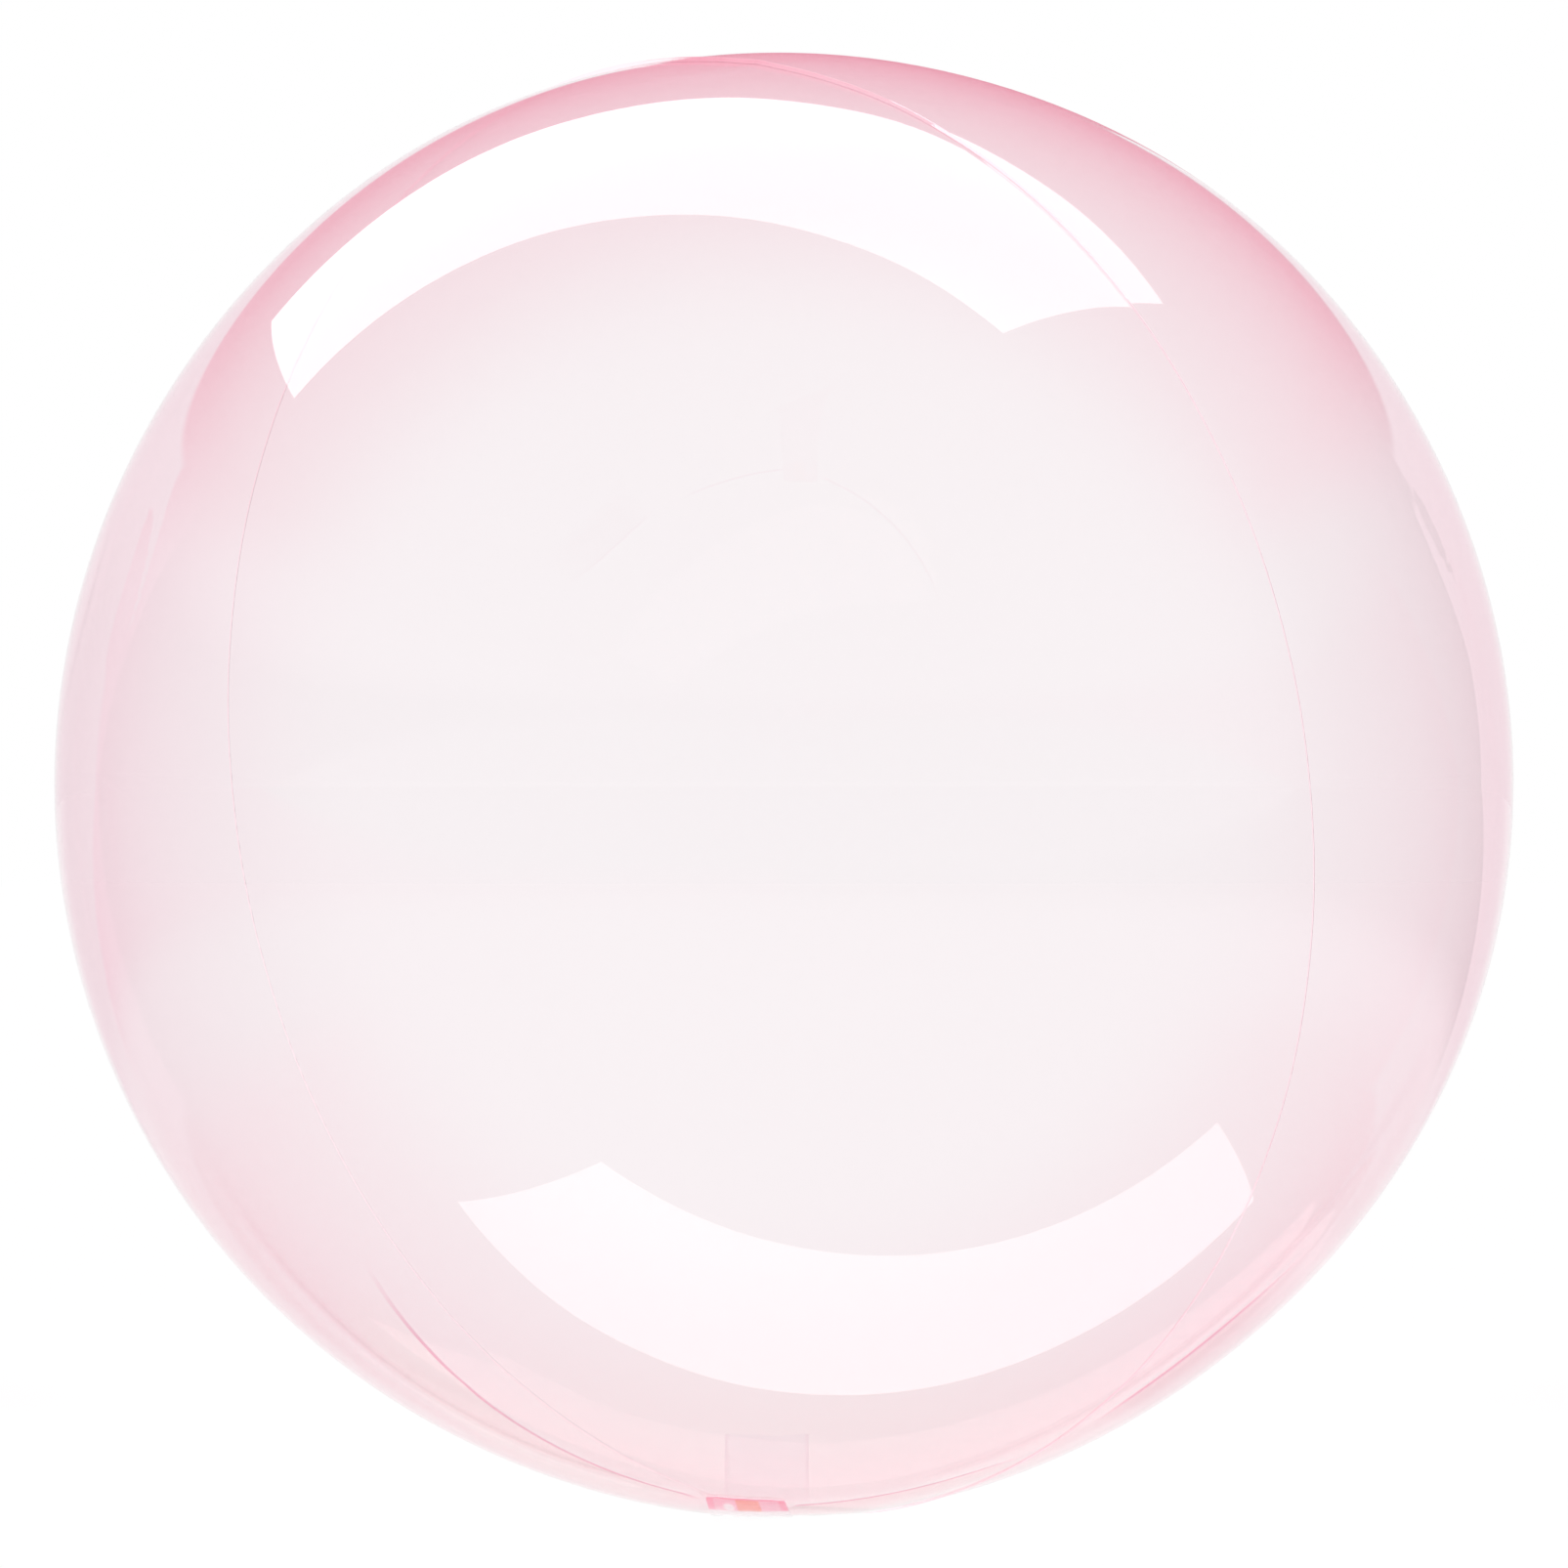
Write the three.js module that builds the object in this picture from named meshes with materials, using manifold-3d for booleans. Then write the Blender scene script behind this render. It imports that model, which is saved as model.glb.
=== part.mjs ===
// A clear bubble balloon, blown up round and lying loose on a level surface.
//
// Two rounds of stretchy clear film are welded together round their rims and
// blown up into a ball. The weld runs round the ball as a thin flat lip. Where
// the weld comes nearest to the ground the filling neck leaves it. The neck is
// folded flat between the ball and the ground, and its end lies against the
// front of the ball's underside.
//
// Each panel is one solid with the gas behind it. Units are millimetres and +Z
// is up. The origin is on the ground, straight below the middle of the ball.

import * as THREE from 'three';
import { mergeVertices } from 'three/addons/utils/BufferGeometryUtils.js';
import Module from 'manifold-3d';

const wasm = await Module();
wasm.setup();

// ---- driving dimensions -------------------------------------------------

const DIAMETER = 475; // across the blown-up ball
const GAP = 0.3; // left between neighbouring pieces

// The weld plane: the direction that the front panel's middle faces, and how
// far the weld lies from the middle of the ball towards that panel.
const PANEL_AZIMUTH = -132.2; // degrees from +X, turning towards +Y
const PANEL_ELEVATION = -7.5; // degrees above the horizon
const WELD_OFFSET = 15;
const LIP_WIDTH = 2.5; // how far the welded lip stands out of the film
const LIP_HALF_THICKNESS = 0.5; // one panel's share of the lip

// The film draws in beside the weld, in long shallow gathers.
const WAIST_DEPTH = 0.8;
const WAIST_REACH = 10; // distance from the weld over which the waist fades
const GATHERS = 24;
const GATHER_DEPTH = 0.5;
const GATHER_REACH = 45;

// The ball isn't quite round: the film swells and flattens a little. Each
// entry gives a direction in degrees, a height, and a reach in degrees.
const SWELLS = [
  { azimuth: 180, elevation: 66, height: 1.9, reach: 22 },
  { azimuth: 0, elevation: 50, height: 1.2, reach: 20 },
  { azimuth: 0, elevation: -48, height: -2.2, reach: 24 },
  { azimuth: 0, elevation: -90, height: 1.6, reach: 18 },
];

// The filling neck, folded flat under the ball.
const NECK_TURN = -7.3; // degrees round the weld from its lowest point
const TAIL_WIDTH = 28;
const TAIL_LENGTH = 90; // along the middle, from the weld to the end
const TAIL_SKEW = 0.5; // degrees that the tail turns from straight forward
const TAIL_THICKNESS = 0.6;
const TAIL_FLARE = 2; // how far each side spreads where it joins the weld
const TAIL_FLARE_LENGTH = 12;
const TAIL_END_CORNER = 4; // radius of the two corners at the free end

// How finely the solids are divided.
const SEGMENTS = 96; // round the weld
const RINGS = 18; // from the weld to the middle of a panel
const RING_CROWDING = 1.3; // above 1 sets the rings closer beside the weld
const TAIL_STEPS = 30; // along the tail
const TAIL_LANES = 6; // across the tail

// ---- worked out from those ----------------------------------------------

const RADIUS = DIAMETER / 2;
const CENTRE = new THREE.Vector3(0, 0, RADIUS);
const radians = THREE.MathUtils.degToRad;

// A unit vector from a compass direction and a height above the horizon.
function direction(azimuth, elevation) {
  const level = Math.cos(radians(elevation));
  return new THREE.Vector3(
    level * Math.cos(radians(azimuth)),
    level * Math.sin(radians(azimuth)),
    Math.sin(radians(elevation))
  );
}

// The weld's own axes: out of the front panel, towards the neck, and across.
const FRONT = direction(PANEL_AZIMUTH, PANEL_ELEVATION);
const LOWEST = new THREE.Vector3(0, 0, -1).projectOnPlane(FRONT).normalize();
const TO_NECK = LOWEST.clone().applyAxisAngle(FRONT, radians(NECK_TURN));
const ACROSS = FRONT.clone().cross(TO_NECK);

// ---- the film's surface -------------------------------------------------

// How far the film lies from the middle of the ball in a given direction.
function filmRadius(unit) {
  let radius = RADIUS;
  for (const swell of SWELLS) {
    const angle = unit.angleTo(direction(swell.azimuth, swell.elevation));
    const share = THREE.MathUtils.radToDeg(angle) / swell.reach;
    radius += swell.height * Math.exp(-share * share);
  }
  const fromWeld = Math.abs(unit.dot(FRONT) * RADIUS - WELD_OFFSET);
  radius -= WAIST_DEPTH * Math.exp(-fromWeld / WAIST_REACH);
  const round = Math.atan2(unit.dot(ACROSS), unit.dot(TO_NECK));
  const valley = (1 - Math.cos(GATHERS * round)) / 2;
  radius -= GATHER_DEPTH * valley * Math.exp(-fromWeld / GATHER_REACH);
  return radius;
}

// The height of the ball's underside above a point on the ground.
function undersideHeight(x, y) {
  let height = 0;
  for (let pass = 0; pass < 6; pass += 1) {
    const unit = new THREE.Vector3(x, y, height - RADIUS).normalize();
    const radius = filmRadius(unit);
    height = RADIUS - Math.sqrt(radius * radius - x * x - y * y);
  }
  return height;
}

// ---- closed solids from rings of points ---------------------------------

// The faces that close a ring on a middle point.
function fanCap(count, ring, middle) {
  return Array.from({ length: count }, (_, i) => [ring + i, ring + ((i + 1) % count), middle]);
}

// The faces that close a long thin ring, from its first side to its second.
function stripCap(count, ring) {
  const faces = [];
  for (let i = 0; i < count / 2 - 1; i += 1) {
    const j = count - 1 - i;
    faces.push([ring + i, ring + i + 1, ring + j]);
    faces.push([ring + i + 1, ring + j - 1, ring + j]);
  }
  return faces;
}

// Joins rings of equal length. An end with a middle point is closed as a fan,
// and one without as a strip. Seen from the last end, rings run anticlockwise.
function solidFromRings(rings, firstMiddle, lastMiddle) {
  const count = rings[0].length;
  const points = rings.flat();
  const faces = [];
  for (let ring = 0; ring < rings.length - 1; ring += 1) {
    const low = ring * count;
    const high = low + count;
    for (let i = 0; i < count; i += 1) {
      const next = (i + 1) % count;
      faces.push([low + i, low + next, high + next]);
      faces.push([low + i, high + next, high + i]);
    }
  }
  const close = (ring, middle) => {
    if (!middle) {
      return stripCap(count, ring);
    }
    points.push(middle);
    return fanCap(count, ring, points.length - 1);
  };
  const firstCap = close(0, firstMiddle).map((face) => face.toReversed());
  const lastCap = close((rings.length - 1) * count, lastMiddle);
  const geometry = new THREE.BufferGeometry().setFromPoints(points);
  geometry.setIndex([...faces, ...firstCap, ...lastCap].flat());
  return geometry;
}

// ---- joining and cutting ------------------------------------------------

function toManifold(geometry) {
  const bare = geometry.clone();
  bare.deleteAttribute('normal');
  bare.deleteAttribute('uv');
  const merged = mergeVertices(bare, 1e-4);
  return new wasm.Manifold(new wasm.Mesh({
    numProp: 3,
    vertProperties: Float32Array.from(merged.attributes.position.array),
    triVerts: Uint32Array.from(merged.index.array),
  }));
}

function toGeometry(manifold) {
  const cut = manifold.getMesh();
  const geometry = new THREE.BufferGeometry();
  geometry.setAttribute('position', new THREE.BufferAttribute(cut.vertProperties, 3));
  geometry.setIndex(new THREE.BufferAttribute(cut.triVerts, 1));
  geometry.computeVertexNormals();
  return geometry;
}

function subtract(geometry, tools) {
  let body = toManifold(geometry);
  for (const tool of tools) {
    body = body.subtract(toManifold(tool));
  }
  return toGeometry(body);
}

// ---- the two panels -----------------------------------------------------

// One panel: side is 1 for the front panel and -1 for the back one.
function panelGeometry(side) {
  const pole = FRONT.clone().multiplyScalar(side);
  const across = ACROSS.clone().multiplyScalar(side);
  const weld = side * WELD_OFFSET + GAP / 2;
  const rimAngle = Math.acos(weld / RADIUS);

  const outward = (turn) => TO_NECK.clone().multiplyScalar(Math.cos(turn))
    .addScaledVector(across, Math.sin(turn));
  const turns = Array.from({ length: SEGMENTS }, (_, i) => (2 * Math.PI * i) / SEGMENTS);

  // A ring at a set distance from the weld plane and a set reach outwards.
  const flatRing = (distance, extra) => turns.map((turn) => {
    const unit = outward(turn).multiplyScalar(Math.sin(rimAngle))
      .addScaledVector(pole, Math.cos(rimAngle));
    const reach = Math.sqrt(filmRadius(unit) ** 2 - weld ** 2) + extra;
    return CENTRE.clone().addScaledVector(outward(turn), reach)
      .addScaledVector(pole, distance);
  });

  const rings = [
    flatRing(weld, LIP_WIDTH),
    flatRing(weld + LIP_HALF_THICKNESS, LIP_WIDTH),
    flatRing(weld + LIP_HALF_THICKNESS, 0),
  ];
  for (let i = 1; i < RINGS; i += 1) {
    const angle = rimAngle * (1 - (i / RINGS) ** RING_CROWDING);
    rings.push(turns.map((turn) => {
      const unit = outward(turn).multiplyScalar(Math.sin(angle))
        .addScaledVector(pole, Math.cos(angle));
      return CENTRE.clone().addScaledVector(unit, filmRadius(unit));
    }));
  }
  return solidFromRings(
    rings,
    CENTRE.clone().addScaledVector(pole, weld),
    CENTRE.clone().addScaledVector(pole, filmRadius(pole))
  );
}

// ---- the folded neck ----------------------------------------------------

// Where the neck leaves the weld, and the way that the weld runs there.
const ROOT = (() => {
  const angle = Math.acos(WELD_OFFSET / RADIUS);
  const unit = TO_NECK.clone().multiplyScalar(Math.sin(angle))
    .addScaledVector(FRONT, Math.cos(angle));
  return CENTRE.clone().addScaledVector(unit, filmRadius(unit));
})();
const WELD_SLOPE = -ACROSS.y / ACROSS.x; // forward run for each unit to the right

// Half the tail's width at a distance from the root: flared at the weld, and
// rounded at the free end's corners.
function tailHalfWidth(along) {
  let half = TAIL_WIDTH / 2;
  if (along < TAIL_FLARE_LENGTH) {
    const share = 1 - Math.max(along, 0) / TAIL_FLARE_LENGTH;
    half += TAIL_FLARE * share * share;
  }
  const fromEnd = TAIL_LENGTH - along;
  if (fromEnd < TAIL_END_CORNER) {
    const bite = TAIL_END_CORNER - fromEnd;
    half -= TAIL_END_CORNER - Math.sqrt(TAIL_END_CORNER ** 2 - bite ** 2);
  }
  return half;
}

// The tail as a closed strip that hugs the ball and lies on the ground. The
// margin grows it on every side, and the floor value drops its underside.
function tailGeometry(margin, drop) {
  const skew = radians(TAIL_SKEW);
  const rings = [];
  for (let step = 0; step <= TAIL_STEPS; step += 1) {
    const share = step / TAIL_STEPS;
    const half = tailHalfWidth(share * TAIL_LENGTH - margin) + margin;
    const upper = [];
    const lower = [];
    for (let lane = 0; lane <= TAIL_LANES; lane += 1) {
      const side = half * (1 - (2 * lane) / TAIL_LANES);
      // The root runs along the weld, and the free end is square.
      const start = side * WELD_SLOPE - margin;
      const along = start + share * (TAIL_LENGTH + margin - start);
      const x = ROOT.x + side * Math.cos(skew) + along * Math.sin(skew);
      const y = ROOT.y + side * Math.sin(skew) - along * Math.cos(skew);
      const lying = Math.max(undersideHeight(x, y) - GAP, TAIL_THICKNESS);
      upper.push(new THREE.Vector3(x, y, lying + margin));
      lower.unshift(new THREE.Vector3(x, y, lying - TAIL_THICKNESS - drop));
    }
    rings.push([...upper, ...lower]);
  }
  return solidFromRings(rings);
}

// ---- the finished object ------------------------------------------------

const GROUND_DEPTH = 40;
const ground = new THREE.BoxGeometry(2 * DIAMETER, 2 * DIAMETER, GROUND_DEPTH)
  .translate(0, 0, -GROUND_DEPTH / 2);
const tailPocket = tailGeometry(GAP, 8);

const film = { color: 0xf7dfe6, roughness: 0.05, metalness: 0 };
const pieces = [
  { name: 'front_panel', geometry: subtract(panelGeometry(1), [ground, tailPocket]) },
  { name: 'back_panel', geometry: subtract(panelGeometry(-1), [ground, tailPocket]) },
  { name: 'neck_tail', geometry: tailGeometry(0, 0) },
];

const balloon = new THREE.Group();
for (const { name, geometry } of pieces) {
  const mesh = new THREE.Mesh(geometry, new THREE.MeshStandardMaterial(film));
  mesh.name = name;
  balloon.add(mesh);
}

export default balloon;
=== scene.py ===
import math
from collections import namedtuple

import bpy
import numpy as np
from mathutils import Matrix, Vector


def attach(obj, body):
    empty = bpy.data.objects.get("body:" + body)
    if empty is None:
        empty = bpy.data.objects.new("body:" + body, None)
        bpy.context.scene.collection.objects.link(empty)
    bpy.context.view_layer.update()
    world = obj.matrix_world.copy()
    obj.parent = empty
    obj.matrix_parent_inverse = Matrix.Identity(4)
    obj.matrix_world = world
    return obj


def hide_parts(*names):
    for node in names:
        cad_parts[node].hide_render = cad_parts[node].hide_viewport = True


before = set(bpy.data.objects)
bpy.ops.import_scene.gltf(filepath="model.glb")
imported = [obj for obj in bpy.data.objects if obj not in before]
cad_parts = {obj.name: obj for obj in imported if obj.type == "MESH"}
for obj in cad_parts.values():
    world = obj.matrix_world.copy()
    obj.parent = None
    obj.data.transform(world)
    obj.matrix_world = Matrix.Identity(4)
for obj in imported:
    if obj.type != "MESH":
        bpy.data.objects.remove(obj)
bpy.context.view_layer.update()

# A clear bubble balloon: two rounds of stretched pink film welded at the rim, the
# filling neck folded flat under the ball, and the valve's limp sleeve inside.

bl_info = {
    "name": "Clear bubble balloon",
    "version": (1, 0, 0),
    "blender": (4, 5, 0),
    "location": "3D View > Sidebar > Balloon",
    "description": "Builds a blown-up clear film balloon around its packed solids",
    "category": "Add Mesh",
}

MM = 0.001

# The colour sockets of a Mix node: its two inputs and its output.
A, B, MIX = 6, 7, 2


# ---- settings ------------------------------------------------------------

def srgb(code):
    """Turns an sRGB hex colour into the linear values that shaders take."""
    channels = (int(code[i:i + 2], 16) / 255 for i in (1, 3, 5))
    return tuple(c / 12.92 if c <= 0.04045 else ((c + 0.055) / 1.055) ** 2.4 for c in channels)


def colour_property(name, description, code):
    return bpy.props.FloatVectorProperty(
        name=name, description=description, subtype="COLOR", size=3, min=0, max=1,
        default=srgb(code))


def length_property(name, description, metres):
    return bpy.props.FloatProperty(
        name=name, description=description, unit="LENGTH", min=0, default=metres)


def angle_property(name, description, degrees):
    return bpy.props.FloatProperty(
        name=name, description=description, subtype="ANGLE", default=math.radians(degrees))


class BalloonShape(bpy.types.PropertyGroup):
    """Sizes of the blown-up balloon."""

    diameter: length_property("Diameter", "Across the blown-up ball", 0.475)
    film: length_property("Film thickness", "Wall of the stretched film", 0.00005)
    weld_azimuth: angle_property("Weld azimuth", "Way the front panel's middle faces", -132.2)
    weld_elevation: angle_property("Weld elevation", "Its height above the horizon", -7.5)
    weld_offset: length_property("Weld offset", "Weld plane's distance from the middle", 0.015)
    lip: length_property("Weld lip", "Widest reach of the welded lip, near the top", 0.0016)
    lip_thickness: length_property("Lip thickness", "Two films fused in the lip", 0.0004)
    waist_depth: length_property("Waist depth", "How far the film draws in at the weld", 0.0002)
    waist_reach: length_property("Waist reach", "Distance over which the waist fades", 0.010)
    gathers: bpy.props.IntProperty(
        name="Gathers", description="Shallow gathers round the weld", min=0, default=24)
    gather_depth: length_property("Gather depth", "Depth of each gather at the weld", 0.00012)
    gather_reach: length_property("Gather reach", "Distance over which gathers fade", 0.045)
    rest_height: length_property("Rest height", "Film above the ground at the flat spot", 0.0005)
    neck_turn: angle_property("Neck turn", "Neck's turn from the weld's lowest point", -7.3)
    neck_width: length_property("Neck width", "Flat width of the filling neck", 0.028)
    neck_length: length_property("Neck length", "From the weld to the neck's free end", 0.095)
    neck_flare: length_property("Neck flare", "How far each side spreads at the weld", 0.002)
    neck_taper: length_property("Neck taper", "How much narrower the curled free end is", 0.0026)
    neck_thickness: length_property("Neck thickness", "Layers of film in the flat neck", 0.0003)
    sleeve_width: length_property("Sleeve width", "Flat width of the valve sleeve", 0.028)
    sleeve_length: length_property("Sleeve length", "Length of the sleeve inside", 0.063)
    sleeve_aside: length_property("Sleeve aside", "Sleeve's shift beside the neck", 0.006)


class BalloonFinish(bpy.types.PropertyGroup):
    """Colours of the film and its welds."""

    film_tint: colour_property("Film tint", "Light left after one straight pass", "#fcf9fa")
    film_shade: colour_property("Film shade", "Where the dye lies a little deeper", "#fbf8f9")
    film_edge: colour_property("Film edge tint", "Light left after a grazing pass", "#f5cfdb")
    # Paler film: the film paler towards the bottom, and painted light on the outer side of two
    # folds.
    paler_film_and_painted_light: colour_property("Slack film", "Paler film outside a fold", "#faf4f3")
    # Painted shade: deeper film on the outer side of the third fold.
    painted_deeper_film: colour_property("Dense film", "Deeper film outside a fold", "#eed6dc")
    pleat: colour_property("Pleat", "Layers of film pinched in a fold", "#efb2c8")
    weld_tint: colour_property("Weld tint", "Film pressed double in the weld", "#ffeef3")
    weld_milk: colour_property("Weld milkiness", "Paler film where the bar crimped it", "#fff7fa")
    # Painted glow: the weld gives off a faint light of its own.
    painted_weld_glow: colour_property("Weld glow", "Light led through the film to the weld", "#ffc0ce")
    neck_tint: colour_property("Neck tint", "Layers of film in the folded neck", "#ffaac4")
    neck_milk: colour_property("Neck milkiness", "Where the neck's layers are cloudy", "#ffd0dd")
    neck_seal: colour_property("Neck seal", "Sealed edges of the neck", "#ff9fba")
    # Pale film before the folded end, and also the painted highlight on the neck.
    pale_film_and_highlight: colour_property("Parted film", "Film where its layers part", "#fff2f6")
    sleeve_film: colour_property("Sleeve film", "Film of the valve sleeve", "#fcfbfd")
    sleeve_seal: colour_property("Sleeve seal", "Sealed edges of the valve sleeve", "#faf4f8")
    ink_tint: colour_property("Ink tint", "Release ink that keeps the valve open", "#ff9a8a")


class BalloonStudio(bpy.types.PropertyGroup):
    """Camera, lights and floor."""

    camera_distance: length_property("Camera distance", "From the middle of the ball", 4.75)
    box_strength: bpy.props.FloatProperty(
        name="Strip light", description="Radiance of the overhead strip light", default=1.87)
    box_tint: colour_property("Strip light tint", "Colour of the strip light", "#fff4ee")
    white: colour_property("Backdrop white", "Lit backdrop and floor", "#ffffff")
    # Rim, right and left also paint the floor's shade further out.
    rim: colour_property("Backdrop rim", "Backdrop where its light falls off", "#f8f1f4")
    right: colour_property("Right shade", "Dimmer studio to the right", "#d8d6d7")
    left: colour_property("Left shade", "Dimmer studio to the left", "#fbdce6")
    above: colour_property("Upper shade", "Studio above the backdrop", "#f0a4b6")
    front: colour_property("Front", "Studio on the camera's side", "#ffffff")
    # Painted shade on the floor on the camera's side.
    front_floor_painted_shade: colour_property("Front floor", "Floor on the camera's side", "#eff0f1")


# ---- the shape of the ball -----------------------------------------------

# Swells and flats of the film: azimuth, elevation, height and reach.
SWELLS = (
    (180, 66, 1.9 * MM, 22),
    (0, 50, 1.2 * MM, 20),
    (0, -48, -2.2 * MM, 24),
    (0, -90, 1.6 * MM, 18),
)

# Long soft creases where the film pulls towards the neck and the weld. Each runs
# through three directions (azimuth, elevation), and fades in and out over a share of its
# length at each end.
Crease = namedtuple("Crease", "start middle end depth half_width start_share end_share")
CREASES = (
    Crease((-136.1, -43.3), (-128.7, -44.7), (-126.3, -51.6), 0.3 * MM, 5 * MM, 0.40, 0.40),
    Crease((-20.1, -18.0), (-23.8, -23.2), (-26.5, -33.0), 0.6 * MM, 5 * MM, 0.40, 0.30),
    Crease((160.0, -28.0), (161.0, -47.0), (125.0, -79.0), 1.0 * MM, 6 * MM, 0.40, 0.10),
    Crease((15.0, -20.0), (20.0, -45.0), (50.0, -78.0), 0.9 * MM, 6 * MM, 0.40, 0.10),
    Crease((-24.0, 25.0), (-20.8, 16.5), (-16.6, 10.0), 0.35 * MM, 5 * MM, 0.30, 0.30),
    Crease((-159.5, 27.0), (-155.0, 20.0), (-157.4, 7.0), 0.5 * MM, 5 * MM, 0.35, 0.35),
    Crease((-155.7, 3.0), (-155.4, -3.8), (-155.6, -11.0), 0.3 * MM, 4 * MM, 0.40, 0.40),
    Crease((-121.0, 70.5), (-96.4, 76.9), (-72.0, 78.6), -0.35 * MM, 3.5 * MM, 0.30, 0.30),
)

# Crisp folds beside the neck: as above, with a width on the ball's front side of the
# line, a width on its outer side, and the painted colour of the film on the outer side:
# paler beside two folds and deeper beside the third, for how that facet takes the light.
Fold = namedtuple(
    "Fold", "start middle end depth front_width outer_width start_share end_share outer_film")
FOLDS = (
    Fold((-114.6, -75.2), (-135.7, -60.0), (-136.5, -39.2), 0.6 * MM, 4.5 * MM, 9 * MM,
         0.06, 0.30, "paler_film_and_painted_light"),
    Fold((-36.9, -64.6), (-47.4, -70.9), (-89.9, -77.9), 0.6 * MM, 4.5 * MM, 7 * MM,
         0.30, 0.06, "paler_film_and_painted_light"),
    Fold((-23.0, -38.4), (-30.9, -52.9), (-32.7, -61.0), 0.5 * MM, 4 * MM, 6 * MM,
         0.45, 0.25, "painted_deeper_film"),
)

# A crease acts only on its own side of the ball: up to an angle from its middle with this
# cosine.
SAME_SIDE = 0.8
# The bottom of a crisp fold is rounded this much.
FOLD_ROUNDING = 0.3 * MM
# Rounds of closing in on the height of the underside.
UNDERSIDE_ROUNDS = 6


def compass(azimuth, elevation):
    """A unit vector from a compass direction and a height above the horizon, in radians."""
    level = math.cos(elevation)
    return Vector((level * math.cos(azimuth), level * math.sin(azimuth), math.sin(elevation)))


def shape():
    return bpy.context.scene.balloon_shape


def finish():
    return bpy.context.scene.balloon_finish


def studio():
    return bpy.context.scene.balloon_studio


def weld_axes():
    """Out of the front panel, towards the neck, and across, as unit vectors."""
    front = compass(shape().weld_azimuth, shape().weld_elevation)
    down = Vector((0, 0, -1))
    lowest = (down - front * down.dot(front)).normalized()
    to_neck = Matrix.Rotation(shape().neck_turn, 3, front) @ lowest
    return front, to_neck, front.cross(to_neck)


def ramp(share, length):
    """Rises smoothly from 0 to 1 as the share goes from 0 to the length."""
    share = np.clip(share / length, 0, 1)
    return share * share * (3 - 2 * share)


def crease_lie(crease):
    """A crease's plane (normal, offset, slant to the film), start, chord and middle."""
    start, middle, end = (
        np.array(compass(math.radians(azimuth), math.radians(elevation)))
        for azimuth, elevation in (crease.start, crease.middle, crease.end))
    # The crease lies where the plane through its three points cuts the ball.
    normal = np.cross(middle - start, end - start)
    normal /= np.linalg.norm(normal)
    offset = normal @ start
    return normal, offset, math.sqrt(1 - offset * offset), start, end - start, middle


def place_by_crease(units, crease):
    """How far aside of a crease each unit vector is, and its share of the way along."""
    normal, offset, slant, start, chord, middle = crease_lie(crease)
    aside = (units @ normal - offset) * shape().diameter / 2 / slant
    share = (units - start) @ chord / (chord @ chord)
    return aside, np.where(units @ middle > SAME_SIDE, share, -1)


def along_crease(share, crease):
    """The part of its depth that a crease has at each share of the way along it."""
    return ramp(share, crease.start_share) * ramp(1 - share, crease.end_share)


def crease_depth(units):
    """How far the creases and folds draw the film in along each unit vector."""
    depth = np.zeros(len(units))
    for crease in CREASES:
        aside, share = place_by_crease(units, crease)
        side_fade = np.exp(-(aside / crease.half_width) ** 2)
        depth += crease.depth * along_crease(share, crease) * side_fade
    for fold in FOLDS:
        aside, share = place_by_crease(units, fold)
        width = np.where(aside > 0, fold.outer_width, fold.front_width)
        side_fade = np.exp((FOLD_ROUNDING - np.hypot(aside, FOLD_ROUNDING)) / width)
        depth += fold.depth * along_crease(share, fold) * side_fade
    return depth


def film_radius(units):
    """Distance of the film from the middle of the ball along each unit vector."""
    radius = np.full(len(units), shape().diameter / 2)
    for azimuth, elevation, height, reach in SWELLS:
        towards = np.array(compass(math.radians(azimuth), math.radians(elevation)))
        angle = np.degrees(np.arccos(np.clip(units @ towards, -1, 1)))
        radius += height * np.exp(-(angle / reach) ** 2)
    front, to_neck, across = (np.array(axis) for axis in weld_axes())
    from_weld = np.abs(units @ front * shape().diameter / 2 - shape().weld_offset)
    radius -= shape().waist_depth * np.exp(-from_weld / shape().waist_reach)
    around = np.arctan2(units @ across, units @ to_neck)
    valley = (1 - np.cos(shape().gathers * around)) / 2
    radius -= shape().gather_depth * valley * np.exp(-from_weld / shape().gather_reach)
    return radius - crease_depth(units)


def underside(level):
    """The height of the ball's underside above each point on the ground."""
    ball = shape().diameter / 2
    height = np.zeros(len(level))
    for _ in range(UNDERSIDE_ROUNDS):
        towards = np.column_stack((level, height - ball))
        radius = film_radius(towards / np.linalg.norm(towards, axis=1, keepdims=True))
        height = ball - np.sqrt(radius ** 2 - (level ** 2).sum(axis=1))
    return np.maximum(height, shape().rest_height)


def weld_root():
    """Where the neck leaves the weld."""
    front, to_neck, across = weld_axes()
    angle = math.acos(shape().weld_offset / (shape().diameter / 2))
    unit = np.array(to_neck) * math.sin(angle) + np.array(front) * math.cos(angle)
    return unit * film_radius(unit[None, :])[0] + np.array((0, 0, shape().diameter / 2))


# ---- modelling helpers ---------------------------------------------------

def deselect():
    bpy.ops.object.select_all(action="DESELECT")


def pick(piece):
    """Makes the piece the only one selected, and the active one."""
    deselect()
    piece.select_set(True)
    bpy.context.view_layer.objects.active = piece


def edit(piece, chosen=None):
    """Enters edit mode with no vertices selected, or only the chosen ones."""
    pick(piece)
    bpy.ops.object.mode_set(mode="EDIT")
    bpy.ops.mesh.select_mode(type="VERT")
    bpy.ops.mesh.select_all(action="DESELECT")
    if chosen is not None:
        leave_edit()
        piece.data.vertices.foreach_set("select", chosen)
        bpy.ops.object.mode_set(mode="EDIT")


def leave_edit():
    bpy.ops.object.mode_set(mode="OBJECT")


def settle(piece):
    """Puts the piece's place into its mesh, with the object itself at the origin."""
    pick(piece)
    bpy.ops.object.transform_apply(location=True, rotation=True, scale=True)


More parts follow.
